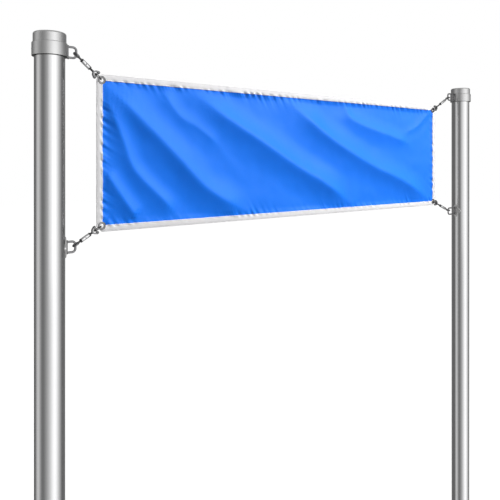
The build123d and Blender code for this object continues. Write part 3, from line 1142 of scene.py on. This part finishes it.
def surface_noise(seed, x, z, spacing):
    """Smooth random values over a plane, about -1 to 1"""
    count = 256
    table = np.random.default_rng(seed).uniform(-1, 1, (count, count))
    i, j = np.floor(x / spacing).astype(int), np.floor(z / spacing).astype(int)
    u, v = eased(x / spacing - i), eased(z / spacing - j)
    i, j, next_i, next_j = i % count, j % count, (i + 1) % count, (j + 1) % count
    near = table[i, j] * (1 - u) + table[next_i, j] * u
    far = table[i, next_j] * (1 - u) + table[next_i, next_j] * u
    return near * (1 - v) + far * v


class Lie:
    """How far each point of the banner stands out towards the front"""

    def __init__(self, sizes):
        low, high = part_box("banner_hem")
        self.centre = (low + high) / 2
        self.half = ((high.x - low.x) / 2, (high.z - low.z) / 2)
        self.sizes = sizes
        self.routes = [(smooth_route(points, self.half), height, reach) for points, height, reach in FOLDS]

    def fold(self, x, z, route, height, reach):
        """One fold: a crest with a lit side above it and a shaded side under it"""
        best = np.full(x.shape, np.inf)
        side = np.zeros(x.shape)
        along = np.zeros(x.shape)
        heading = np.gradient(route, axis=0)
        heading /= np.linalg.norm(heading, axis=1)[:, None]
        count = len(route)
        for k, (px, pz) in enumerate(route):
            dx, dz = x - px, z - pz
            distance = dx * dx + dz * dz
            closer = distance < best
            best = np.where(closer, distance, best)
            side = np.where(closer, heading[k, 0] * dz - heading[k, 1] * dx, side)
            along = np.where(closer, k / (count - 1), along)
        distance = np.sqrt(best)
        sizes = self.sizes
        blend = 0.5 + 0.5 * np.tanh(side / CREST_BLEND)
        span = reach * (sizes.fold_back * (1 - blend) + sizes.fold_front * blend)
        crest = sizes.crest * reach
        round_distance = np.sqrt(distance**2 + (crest * 0.5) ** 2) - crest * 0.5
        shape = np.clip(1 - round_distance / span, 0, 1) ** FOLD_POWER
        taper = np.clip(np.minimum(along, 1 - along) / TAPER, 0, 1)
        taper = 0.30 + 0.70 * taper * taper * (3 - 2 * taper)
        return height * sizes.fold_height * shape * taper

    def free(self, x, z):
        """The cloth on its own, without what holds its edges"""
        total = np.zeros(x.shape)
        for route, height, reach in self.routes:
            total = total + self.fold(x, z, route, height, reach)
        total = total + 1.6 * MM * surface_noise(3, x * 0.8 + z * 0.7, z * 0.9 - x * 0.25, 0.12)
        total = total + 0.45 * MM * surface_noise(5, x, z, 0.035)
        return total

    def edge(self, x, z):
        """Distance from the hem's outer edge"""
        return np.minimum(self.half[0] - np.abs(x), self.half[1] - np.abs(z))

    def puckers(self, x, z):
        """Short gathers that run in from the hem, slanting as the folds do"""
        sizes = self.sizes
        inside = np.maximum(self.edge(x, z) - HEM_WIDTH, -PUCKER_START)
        level = (self.half[1] - np.abs(z)) < (self.half[0] - np.abs(x))
        slant = SLANT * (z - np.sign(z) * self.half[1])
        slant_upright = SLANT * (x - np.sign(x) * self.half[0])
        along = np.where(level, x + slant, z + slant_upright)
        seed_side = np.where(level, np.sign(z), 2 * np.sign(x))
        total = np.zeros(x.shape)
        for number in (-2, -1, 1, 2):
            drift = value_noise(40 + number, along + 3.0, 0.08) * 0.022
            wave = np.sin(2 * math.pi * (along + drift) / sizes.pucker_pitch)
            wave = wave + 0.45 * np.sin(2 * math.pi * (along - drift) / (sizes.pucker_pitch * 0.53))
            strength = np.clip(0.55 + 0.6 * value_noise(60 + number, along + 3.0, 0.06), 0.08, 1)
            reach = sizes.pucker_reach * (0.65 + 0.45 * value_noise(80 + number, along + 3.0, 0.05))
            fade = np.exp(-np.maximum(inside, 0) / reach)
            total = np.where(seed_side == number, wave * strength * fade, total)
        return total * np.clip((inside + PUCKER_START) / PUCKER_START, 0, 1) * sizes.pucker_height

    def at(self, x, z):
        """Offset towards the front for points given from the banner's middle"""
        free = eased(np.clip((self.edge(x, z) - HOLD_START) / HOLD_SPAN, 0, 1))
        return (self.free(x, z) - MEAN_LIFT) * (0.10 + 0.90 * free) + self.puckers(x, z)

    def place(self, x, z, lift):
        """Points in the frame, lifted off the cloth's middle plane"""
        x, z, lift = np.asarray(x, float), np.asarray(z, float), np.asarray(lift, float)
        y = -self.at(x, z) - lift
        return np.stack([x + self.centre.x, y + self.centre.y, z + self.centre.z], axis=-1)


class BANNER_OT_cloth(bpy.types.Operator):
    """The cloth with its folds, reaching a little under the hem"""

    bl_idname = "banner_poles.cloth"
    bl_label = "Banner cloth"

    def execute(self, context):
        sizes = context.scene.banner_sizes
        lie = Lie(sizes)
        reach_x, reach_z = lie.half[0] - CLOTH_INSET, lie.half[1] - CLOTH_INSET
        columns, rows = round(2 * reach_x / sizes.grid) + 1, round(2 * reach_z / sizes.grid) + 1
        x, z = np.meshgrid(np.linspace(-reach_x, reach_x, columns), np.linspace(-reach_z, reach_z, rows))
        hole = 7.2 * MM
        spots = [middle_of(f"{corner}_grommet") for corner in CORNERS]
        for spot in spots:
            spot = spot - lie.centre
            dx, dz = x - spot.x, z - spot.z
            away = np.sqrt(dx**2 + dz**2)
            push = np.where(away < hole, hole / np.maximum(away, 1e-6), 1)
            x, z = spot.x + dx * push, spot.z + dz * push
        flat = lie.place(x, z, 0).reshape(-1, 3)
        faces = grid_faces(rows, columns)
        middles = flat[np.array(faces)].mean(axis=1)
        keep = np.ones(len(faces), bool)
        for spot in spots:
            keep &= np.hypot(middles[:, 0] - spot.x, middles[:, 2] - spot.z) > hole + 0.2 * MM
        faces = [face for face, kept in zip(faces, keep) if kept]
        cloth = new_piece("banner_sheet", flat.tolist(), faces, blue_cloth(), ROOT, "banner_cloth")
        tidy_loose(cloth)
        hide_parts("banner_cloth")
        return {"FINISHED"}


def between(start, end, share):
    """A point on the straight line between two"""
    return tuple(a + (b - a) * share for a, b in zip(start, end))


def hem_stations(half, corner_cut, width, step=4 * MM):
    """(outer point, inner point) pairs round the banner, across its hem"""
    right, top = half
    stations = []
    corners = [(right, top), (-right, top), (-right, -top), (right, -top)]
    for k, (cx, cz) in enumerate(corners):
        nx, nz = corners[(k + 1) % 4]
        sx, sz = math.copysign(1, cx), math.copysign(1, cz)
        inner = (cx - sx * width, cz - sz * width)
        level_first = k % 2 == 1
        first, second = (cx - sx * width, cz), (cx - sx * corner_cut, cz)
        third, fourth = (cx, cz - sz * corner_cut), (cx, cz - sz * width)
        fan = [first, second, third, fourth] if level_first else [fourth, third, second, first]
        for (ax, az), (bx, bz) in zip(fan, fan[1:]):
            count = max(2, round(math.hypot(bx - ax, bz - az) / (step / 2)))
            for t in range(count):
                stations.append(((ax + (bx - ax) * t / count, az + (bz - az) * t / count), inner))
        end = fan[-1]
        tx, tz = math.copysign(1, nx), math.copysign(1, nz)
        next_inner = (nx - tx * width, nz - tz * width)
        next_outer = (nx, nz - tz * width) if level_first else (nx - tx * width, nz)
        count = round(math.hypot(next_outer[0] - end[0], next_outer[1] - end[1]) / step)
        for t in range(count):
            u = t / count
            stations.append((between(end, next_outer, u), between(inner, next_inner, u)))
    return stations


# The hem's face from its outer to its inner edge, in millimetres: distance in, height off the
# middle plane
HEM_FACE = (
    (0.05, 0.25), (0.25, 0.7), (0.7, 1.0), (1.3, 1.1), (2.2, 1.05), (2.7, 0.85), (3.2, 0.85),
    (3.7, 1.1), (6.0, 1.2), (9.0, 1.15), (11.5, 1.2), (13.6, 1.1), (14.2, 0.85), (14.8, 0.85),
    (15.4, 1.1), (16.8, 1.15), (17.5, 1.0), (17.9, 0.7), (18.0, 0.15),
)
STITCH_ROWS = (2.95, 14.5)
# One stitch: shares of its length, and how far it rises out of its seam in millimetres
STITCH_SHAPE = ((0, 0.0), (0.25, 0.22), (0.75, 0.22), (1, 0.0))


class BANNER_OT_hem(bpy.types.Operator):
    """The folded hem and its stitching"""

    bl_idname = "banner_poles.hem"
    bl_label = "Banner hem"

    def execute(self, context):
        sizes = context.scene.banner_sizes
        lie = Lie(sizes)
        stations = hem_stations(lie.half, HEM_CORNER_CUT, HEM_WIDTH)
        outer = np.array([s[0] for s in stations])
        inner = np.array([s[1] for s in stations])
        face = [(d * MM, h * MM) for d, h in HEM_FACE]
        section = face + [(d, -h) for d, h in reversed(face)]
        rings = []
        for distance, height in section:
            share = distance / HEM_WIDTH
            flat = outer * (1 - share) + inner * share
            rings.append(lie.place(flat[:, 0], flat[:, 1], height))
        points = np.stack(rings, axis=1).reshape(-1, 3)
        faces = grid_faces(len(stations), len(section), True, True)
        hem = new_piece("banner_hem_band", points.tolist(), faces, hem_cloth(), ROOT, "banner_hem")
        for corner in CORNERS:
            through = pointing(middle_of(f"{corner}_grommet"), (0, -1, 0), UP)
            cut(hem, placed(rod(HEM_HOLE, -10 * MM, 10 * MM, 48), through))
        sharpen(hem, 60)
        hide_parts("banner_hem")
        stitches = self.stitching(lie, outer, inner, sizes)
        cloth = bpy.data.objects["banner_sheet"]
        low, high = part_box("banner_cloth")
        under = 2 * CLOTH_UNDER_HEM
        flat = (high.x - low.x + under, high.z - low.z + under)
        cloth.visible_glossy = False
        return {"FINISHED"}

    def stitching(self, lie, outer, inner, sizes):
        """Rows of stitches on both faces of the hem"""
        verts, faces = [], []
        for row in STITCH_ROWS:
            share = row * MM / HEM_WIDTH
            line = outer * (1 - share) + inner * share
            closed = np.vstack([line, line[:1]])
            lengths = np.concatenate([[0], np.cumsum(np.linalg.norm(np.diff(closed, axis=0), axis=1))])
            count = int(lengths[-1] / sizes.stitch_pitch)
            for face in (1, -1):
                starts = (np.arange(count) + (0.5 if face < 0 else 0)) * sizes.stitch_pitch
                places = []
                for share_along, rise in STITCH_SHAPE:
                    spot = starts + share_along * sizes.stitch_length
                    spot_x, spot_z = (np.interp(spot, lengths, closed[:, axis]) for axis in (0, 1))
                    places.append(lie.place(spot_x, spot_z, face * (0.86 + rise) * MM))
                self.capsules(verts, faces, places, sizes.thread / 2, face)
        return new_piece("banner_stitching", verts, faces, stitch_thread(), ROOT, "banner_hem")

    def capsules(self, verts, faces, places, radius, face):
        """Small five-sided capsules, each from its first place through two to its last"""
        for a, b, c, d in zip(*places):
            heading = Vector(d - a)
            if heading.length < 1e-5:
                continue
            heading.normalize()
            up = Vector((0, -face, 0))
            side = heading.cross(up).normalized()
            start, count = len(verts), 5
            verts.append(tuple(a))
            for point in (b, c):
                for turn in turns_of(count):
                    offset = side * radius * math.cos(turn) + up * radius * math.sin(turn)
                    verts.append(tuple(Vector(point) + offset))
            verts.append(tuple(d))
            near, far, last = start + 1, start + 1 + count, start + 1 + 2 * count
            for k in range(count):
                n = (k + 1) % count
                faces.append((start, near + n, near + k))
                faces.append((near + k, near + n, far + n, far + k))
                faces.append((far + k, far + n, last))


# Stage


# Soft boxes round the poles: azimuth from the front towards the right pole and half width, both
# in degrees, and strength
SOFT_BOXES = (
    (15, 37, 1.0), (-37, 32, 0.20), (-109, 23, 0.50), (62, 16, 0.10), (135, 47, 0.12), (-168, 19, 0.06),
)
DIM = 0.04  # the surroundings between them
# Each lamp: its name, its place from the point that all lamps face, and its size
LAMPS = (
    ("key", (1.5, -1.5, 3.0), 0.9),
    ("fill", (-0.9, -2.6, 0.3), 2.4),
    ("glow", (4.1, -4.4, 1.7), 2.0),
    ("back", (-1.6, 3.0, 2.2), 2.0),
)
LAMP_TARGET = Vector((0.91, 0, 1.7))
STEEL_REFLECTANCE = 0.60


def box_light(azimuth):
    """How much light comes from an azimuth in degrees"""
    light = DIM
    for middle, half_width, strength in SOFT_BOXES:
        turn = (azimuth - middle + 180) % 360 - 180
        light += strength * math.exp(-((turn / half_width) ** 2))
    return light


def surround_material(reflectance):
    """Light that changes with the azimuth only, made stronger by what the steel takes away"""
    material = bpy.data.materials.new("surround")
    nodes = empty_tree(material)
    split = nodes.add("ShaderNodeSeparateXYZ")
    nodes.link(nodes.add("ShaderNodeTexCoord").outputs["Object"], split.inputs[0])
    azimuth = nodes.math("ARCTAN2", split.outputs["X"], nodes.math("MULTIPLY", split.outputs["Y"], -1.0))
    curve = nodes.add("ShaderNodeFloatCurve")
    nodes.link(nodes.remap(azimuth, -math.pi, math.pi), curve.inputs["Value"])
    points = curve.mapping.curves[0].points
    count, top = 60, 1.25
    knots = [(k / count, box_light(360 * k / count - 180) / top) for k in range(count + 1)]
    points[0].location, points[1].location = knots[0], knots[-1]
    for knot in knots[1:-1]:
        points.new(*knot)
    curve.mapping.update()
    light = nodes.add("ShaderNodeEmission")
    nodes.link(nodes.math("MULTIPLY", curve.outputs["Value"], top / reflectance), light.inputs["Strength"])
    nodes.link(light.outputs[0], nodes.add("ShaderNodeOutputMaterial").inputs["Surface"])
    return material


class STAGE_OT_surroundings(bpy.types.Operator):
    """Even white surroundings, a white floor, and a banded wall for the poles' reflections"""

    bl_idname = "banner_poles.surroundings"
    bl_label = "Surroundings"

    def execute(self, context):
        scene, settings = context.scene, context.scene.stage_settings
        world = bpy.data.worlds.new("even_white")
        scene.world = world
        nodes = empty_tree(world)
        rays = nodes.add("ShaderNodeLightPath")
        seen = nodes.math("MAXIMUM", rays.outputs["Is Camera Ray"], rays.outputs["Is Transmission Ray"])
        hidden = nodes.remap(rays.outputs["Is Glossy Ray"], 0.0, 1.0, settings.world, settings.mirrored)
        strength = nodes.remap(seen, 0.0, 1.0, hidden, 1.0)
        sky = nodes.add("ShaderNodeBackground")
        sky.inputs["Color"].default_value = (1, 1, 1, 1)
        nodes.link(strength, sky.inputs["Strength"])
        nodes.link(sky.outputs[0], nodes.add("ShaderNodeOutputWorld").inputs["Surface"])
        half = settings.floor / 2
        mesh = bpy.data.meshes.new("floor")
        corners = [(-half, -half, 0), (half, -half, 0), (half, half, 0), (-half, half, 0)]
        mesh.from_pydata(corners, [], [(0, 1, 2, 3)])
        floor = link_object("floor", mesh)
        floor.location = (0.9, 0, -0.0005)
        mesh.materials.append(self.floor_material())
        floor.visible_glossy = False
        self.surround()
        return {"FINISHED"}

    def floor_material(self):
        """White, with enough of its own light to meet the white surroundings"""
        material = bpy.data.materials.new("floor_white")
        nodes = empty_tree(material)
        diffuse = nodes.add("ShaderNodeBsdfDiffuse")
        diffuse.inputs["Color"].default_value = (0.2, 0.2, 0.2, 1)
        light = nodes.add("ShaderNodeEmission")
        spot = nodes.add("ShaderNodeVectorMath", operation="LENGTH")
        nodes.link(nodes.add("ShaderNodeTexCoord").outputs["Object"], spot.inputs[0])
        glow = nodes.remap(spot.outputs["Value"], 2.0, 5.0, 0.90, 0.985)
        seen = nodes.add("ShaderNodeLightPath").outputs["Is Camera Ray"]
        nodes.link(nodes.math("MULTIPLY", glow, seen), light.inputs["Strength"])
        both = nodes.add("ShaderNodeAddShader")
        nodes.link(diffuse.outputs[0], both.inputs[0])
        nodes.link(light.outputs[0], both.inputs[1])
        nodes.link(both.outputs[0], nodes.add("ShaderNodeOutputMaterial").inputs["Surface"])
        return material

    def surround(self):
        """A wide round wall that only reflections see"""
        radius, segments = 11.0, 96
        verts, faces = lathe([(radius, -9.0), (radius, 12.0)], segments)
        mesh = bpy.data.meshes.new("surround")
        mesh.from_pydata(verts, [], faces)
        mesh.materials.append(surround_material(STEEL_REFLECTANCE))
        wall = link_object("surround", mesh)
        wall.location = (0.95, 0, 0)
        wall.visible_camera = wall.visible_diffuse = wall.visible_shadow = False
        wall.visible_transmission = wall.visible_volume_scatter = False


class STAGE_OT_lamps(bpy.types.Operator):
    """A key lamp that rakes over the folds, a soft fill, and lamps for the cloth's gloss and its back"""

    bl_idname = "banner_poles.lamps"
    bl_label = "Lamps"

    def execute(self, context):
        settings = context.scene.stage_settings
        for name, offset, size in LAMPS:
            self.lamp(f"{name}_lamp", LAMP_TARGET + Vector(offset), LAMP_TARGET, getattr(settings, name), size)
        fabrics = bpy.data.collections.new("fabrics")
        for name in ("banner_sheet", "banner_hem_band", "banner_stitching", "floor"):
            fabrics.objects.link(bpy.data.objects[name])
        for name in ("key_lamp", "glow_lamp", "back_lamp"):
            bpy.data.objects[name].light_linking.receiver_collection = fabrics
        return {"FINISHED"}

    def lamp(self, name, place, target, power, size):
        """A square area lamp that faces the target"""
        data = bpy.data.lights.new(name, "AREA")
        data.energy, data.size = power, size
        lamp = link_object(name, data)
        lamp.location = place
        lamp.rotation_euler = (target - Vector(place)).to_track_quat("-Z", "Y").to_euler()


class STAGE_OT_camera(bpy.types.Operator):
    """The camera, level and a little turned to the right"""

    bl_idname = "banner_poles.camera"
    bl_label = "Camera"

    def execute(self, context):
        scene, settings = context.scene, context.scene.stage_settings
        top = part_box("left_cap")[1].z
        data = bpy.data.cameras.new("camera")
        data.lens, data.sensor_width, data.shift_y = settings.lens, 36, settings.shift
        data.clip_start, data.clip_end = 0.01, 100
        camera = link_object("camera", data)
        camera.location = (settings.camera_x, settings.camera_y, top - settings.camera_drop)
        camera.rotation_euler = (math.pi / 2, 0, -settings.turn)
        scene.camera = camera
        scene.view_settings.view_transform = "Standard"
        return {"FINISHED"}


class VIEW3D_PT_banner_poles(bpy.types.Panel):
    """Sizes, colours and the steps, in order"""

    bl_label = "Banner Poles"
    bl_idname = "VIEW3D_PT_banner_poles"
    bl_space_type = "VIEW_3D"
    bl_region_type = "UI"
    bl_category = "Banner Poles"

    def draw(self, context):
        for group in GROUPS:
            box = self.layout.box()
            box.label(text=group.replace("_", " ").capitalize())
            settings = getattr(context.scene, group)
            for name in settings.bl_rna.properties.keys():
                if name not in ("rna_type", "name"):
                    box.prop(settings, name)
        for step in STEPS:
            self.layout.operator(step.bl_idname)


GROUPS = {
    "banner_sizes": BannerSizes,
    "rigging_sizes": RiggingSizes,
    "finish_colours": FinishColours,
    "stage_settings": StageSettings,
}
STEPS = (
    POLES_OT_tubes,
    POLES_OT_rings,
    POLES_OT_flanges,
    POLES_OT_eyes,
    RIG_OT_eye_screws,
    RIG_OT_barrels,
    RIG_OT_nuts,
    RIG_OT_forks,
    RIG_OT_rings,
    RIG_OT_grommets,
    BANNER_OT_cloth,
    BANNER_OT_hem,
    STAGE_OT_surroundings,
    STAGE_OT_lamps,
    STAGE_OT_camera,
)


def register():
    """Adds the settings, steps and panel"""
    for cls in (*GROUPS.values(), *STEPS, VIEW3D_PT_banner_poles):
        bpy.utils.register_class(cls)
    for name, cls in GROUPS.items():
        setattr(bpy.types.Scene, name, PointerProperty(type=cls))


def unregister():
    """Takes them out again"""
    for name in GROUPS:
        delattr(bpy.types.Scene, name)
    for cls in reversed((*GROUPS.values(), *STEPS, VIEW3D_PT_banner_poles)):
        bpy.utils.unregister_class(cls)


def main():
    """Runs every step in order"""
    register()
    for step in STEPS:
        family, name = step.bl_idname.split(".")
        getattr(getattr(bpy.ops, family), name)()


if __name__ == "__main__":
    main()
